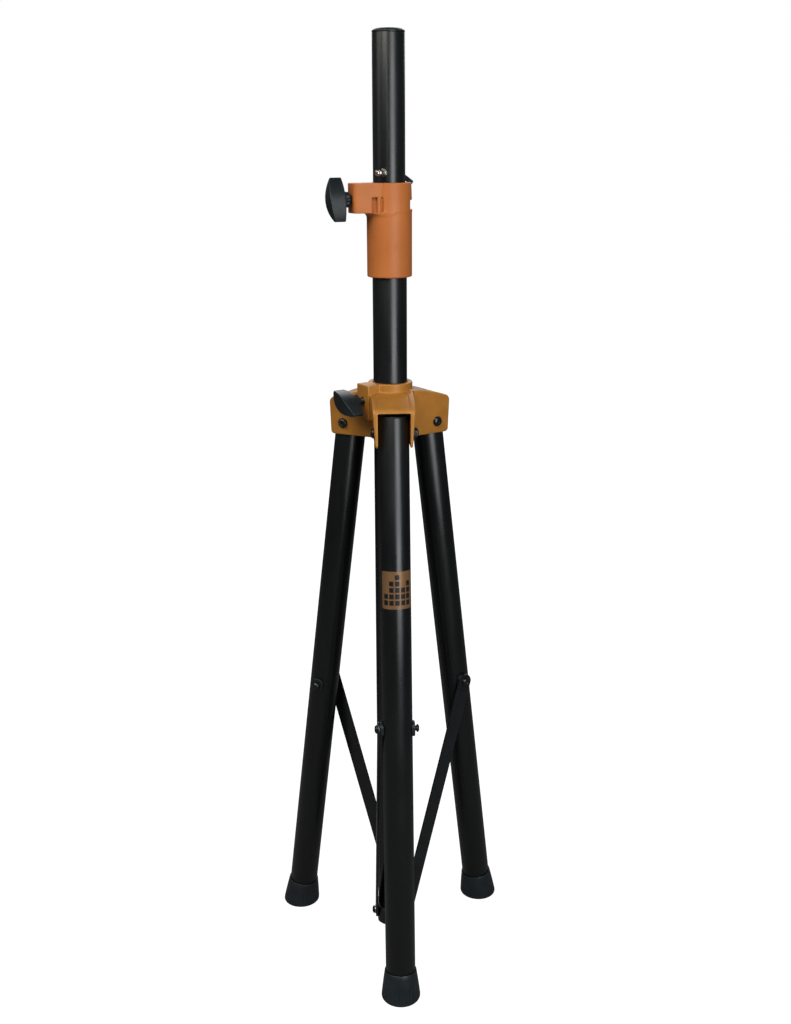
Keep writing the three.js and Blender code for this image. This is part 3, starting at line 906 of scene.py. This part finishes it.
def label_ring(z, trim, left, right, inner, outer):
    """One height of the label, drawn in at both ends by trim to round its corners."""
    count = 49
    ease = np.linspace(1, -1, count) * trim / outer
    angle = np.radians(np.linspace(left, right, count)) + ease
    level = np.full(count, z)
    front = np.stack((outer * np.cos(angle), outer * np.sin(angle), level), 1)
    back = np.stack((inner * np.cos(angle), inner * np.sin(angle), level), 1)
    return np.concatenate((front, back[::-1]))


def make_badge():
    """A bronze label wrapped round the front leg, printed with a plain level meter."""
    place = along_leg("front")
    centre, height = -174.0, 43.0  # along the leg from its pivot
    left, right = -60.0, 66.0  # degrees round the leg
    inner, outer = LEG_R + 0.12, LEG_R + 0.45
    low, high = centre - height / 2, centre + height / 2
    corner = ((0, 2.6), (0.35, 1.2), (1.2, 0.35), (2.6, 0))
    levels = [(low + up, trim) for up, trim in corner]
    levels += [(high - up, trim) for up, trim in reversed(corner)]
    rings = [label_ring(z, trim, left, right, inner, outer) for z, trim in levels]
    finished("leg_badge", skin(rings), place)

    bars = (2, 4, 5, 3, 4)  # segments lit on each bar of the meter
    margin, gap = 12.0, 5.5  # degrees
    base, tall, space = 4.4, 5.6, 1.7  # millimetres
    pitch = (right - left - 2 * margin + gap) / len(bars)
    marks = []
    for i, lit in enumerate(bars):
        start = left + margin + i * pitch
        end = start + pitch - gap
        for k in range(lit):
            foot = low + base + k * (tall + space)
            marks.append(curved_patch(start, end, foot, foot + tall, outer - 0.1, outer + 0.07))
    extra("badge_marks", join_shapes(marks), place, "leg_front", "badge_print", "badge_ink")


# ---------- struts and pivots ----------
def stadium(inset, y):
    """Ring of a flat bar's outline, drawn in by inset."""
    radius = STRUT_W / 2 - inset
    upper = np.linspace(0, math.pi, 25)
    lower = np.linspace(math.pi, 2 * math.pi, 25)
    x = np.concatenate((radius * np.cos(upper), radius * np.cos(lower)))
    z = np.concatenate((radius * np.sin(upper), -STRUT_L + radius * np.sin(lower)))
    return np.stack((x, np.full(len(x), y), z), 1)


def make_strut(leg):
    place = along_strut(leg)
    near, far = -STRUT_FACE, -STRUT_FACE - STRUT_T
    steps = (
        (0.5, near), (0.15, near - 0.12), (0, near - 0.5),
        (0, far + 0.5), (0.15, far + 0.12), (0.5, far),
    )
    finished("strut_" + leg, skin([stadium(inset, y) for inset, y in steps]), place)
    foot = place @ shift(0, 0, -STRUT_L) @ facing(-1)
    low = -far + CLEAR
    high = low + 0.8
    washer = [[3.3, low, 0.15], [5.4, low, 0.2], [5.4, high, 0.2], [3.3, high, 0.15]]
    washer = rounded(washer, closed=True, step=45)
    finished("strut_washer_" + leg, turned(washer, 48, closed=True), foot)
    bolt = button_bolt(high + CLEAR, STRUT_FACE + CLEAR, 4.9, 2.9, 1.6)
    finished("strut_bolt_" + leg, bolt, foot)


def make_pivot(leg, head):
    seat = EAR_OUT - DRAFT * YOKE_LOW + 0.25  # on the ear at the bolt's height
    place = pivot(leg)
    finished("pivot_bolt_" + leg, button_bolt(seat, -seat - 6.4), place @ facing(head))
    finished("pivot_nut_" + leg, hex_nut(seat, 5.0), place @ facing(-head))


# ---------- studio ----------
def by_eye(tree, seen, unseen):
    """A shader that the camera sees one way and every other ray another."""
    ray = tree.nodes.new("ShaderNodeLightPath")
    mix = tree.nodes.new("ShaderNodeMixShader")
    tree.links.new(ray.outputs["Is Camera Ray"], mix.inputs[0])
    tree.links.new(unseen.outputs[0], mix.inputs[1])
    tree.links.new(seen.outputs[0], mix.inputs[2])
    return mix


def paper():
    """Pale paper that glows to the eye and stays dim in reflections."""
    material = bpy.data.materials.new("pale_paper")
    material.use_nodes = True
    tree = material.node_tree
    tree.nodes.clear()
    place = tree.nodes.new("ShaderNodeTexCoord").outputs["Object"]
    patchy = remap(tree, noise(tree, place, 2), 0, 1)
    shade = blend_colours(tree, patchy, (0.15, 0.15, 0.15), (0.17, 0.17, 0.17))
    matt = add_node(tree, "ShaderNodeBsdfDiffuse", Color=shade)
    glow = add_node(tree, "ShaderNodeEmission", Color=(1, 1, 1, 1), Strength=1.0)
    both = tree.nodes.new("ShaderNodeAddShader")
    tree.links.new(matt.outputs[0], both.inputs[0])
    tree.links.new(glow.outputs[0], both.inputs[1])
    output = tree.nodes.new("ShaderNodeOutputMaterial")
    tree.links.new(by_eye(tree, both, matt).outputs[0], output.inputs["Surface"])
    return material


def make_floor():
    mesh = bpy.data.meshes.new("floor")
    half = 12.0
    outline = [(-half, -half), (half, -half), (half, half), (-half, half)]
    mesh.from_pydata([(x, y, -FLOOR_DROP * MM) for x, y in outline], [], [(0, 1, 2, 3)])
    floor = bpy.data.objects.new("floor", mesh)
    bpy.context.scene.collection.objects.link(floor)
    mesh.materials.append(paper())


def add_light(name, place, aim, width, height, power, colour):
    """A soft panel, in metres and watts, that the camera doesn't see."""
    data = bpy.data.lights.new(name, "AREA")
    data.shape = "RECTANGLE"
    data.size = width
    data.size_y = height
    data.energy = power
    data.color = colour
    light = bpy.data.objects.new(name, data)
    bpy.context.scene.collection.objects.link(light)
    light.location = place
    light.rotation_euler = (Vector(aim) - Vector(place)).to_track_quat("-Z", "Y").to_euler()
    light.visible_camera = False


def make_lights():
    world = bpy.data.worlds.new("studio")
    world.use_nodes = True
    tree = world.node_tree
    dim = add_node(tree, "ShaderNodeBackground", Color=(0.92, 0.97, 1.0, 1), Strength=0.11)
    white = add_node(tree, "ShaderNodeBackground", Color=(1, 1, 1, 1), Strength=1.0)
    both = by_eye(tree, white, dim)
    tree.links.new(both.outputs[0], tree.nodes["World Output"].inputs["Surface"])
    bpy.context.scene.world = world
    # a tall soft strip beside the camera draws the long highlight on each tube
    add_light("strip_right", (0.46, -1.0, 0.99), (0, 0, 0.97), 0.56, 1.24, 12.5, (0.95, 0.97, 1))
    add_light("key_left", (-0.95, -1.6, 2.3), (0, 0, 0.7), 1.3, 1.3, 33, (1, 0.98, 0.93))
    add_light("fill_left", (-2.1, -0.6, 2.45), (0, 0, 0.6), 1.6, 1.6, 25, (1, 0.98, 0.95))
    add_light("back_fill", (0.35, 2.7, 2.1), (0, 0, 0.6), 3.0, 1.6, 38, (0.98, 0.99, 1))


def make_camera():
    """The photograph's view: its angles, lens and place were fitted to the tubes, hub and feet."""
    pitch, yaw, roll = math.radians(16.665), math.radians(-3.737), math.radians(-0.272)
    flat = math.cos(pitch)
    look = Vector((-math.sin(yaw) * flat, math.cos(yaw) * flat, -math.sin(pitch)))
    level = Vector((math.cos(yaw), math.sin(yaw), 0))
    above = level.cross(look)
    right = level * math.cos(roll) + above * math.sin(roll)
    up = above * math.cos(roll) - level * math.sin(roll)
    data = bpy.data.cameras.new("camera")
    data.lens = 42.8
    camera = bpy.data.objects.new("camera", data)
    bpy.context.scene.collection.objects.link(camera)
    place = Matrix((right, up, -look)).transposed().to_4x4()
    place.translation = Vector((AXIS_X - 83.5, AXIS_Y - 1358.2, PIVOT_Z + 301.5)) * MM
    camera.matrix_world = place
    bpy.context.scene.camera = camera


bpy.context.scene.view_settings.view_transform = "Standard"
make_camera()
make_floor()
make_lights()
make_pole()
make_lock_pin()
make_mast()
make_collar()
make_hub()
knob_shape = solid(wing_knob, (-0.5, -10.5, -25), (28, 10.5, 25), 0.5)
make_clamp("collar", POLE_R, COLLAR_BOSS, knob_shape)
make_clamp("hub", MAST_R, HUB_BOSS, knob_shape)
leg_shapes = {"foot": foot_rings(), "saddle_inner": saddle(-1), "saddle_outer": saddle(1)}
# the pivot bolts of the rear legs have their heads to the front, and the front leg's is at the left
for leg_name, bolt_head in (("front", -1), ("left", 1), ("right", -1)):
    make_leg(leg_name, leg_shapes)
    make_strut(leg_name)
    make_pivot(leg_name, bolt_head)
make_badge()
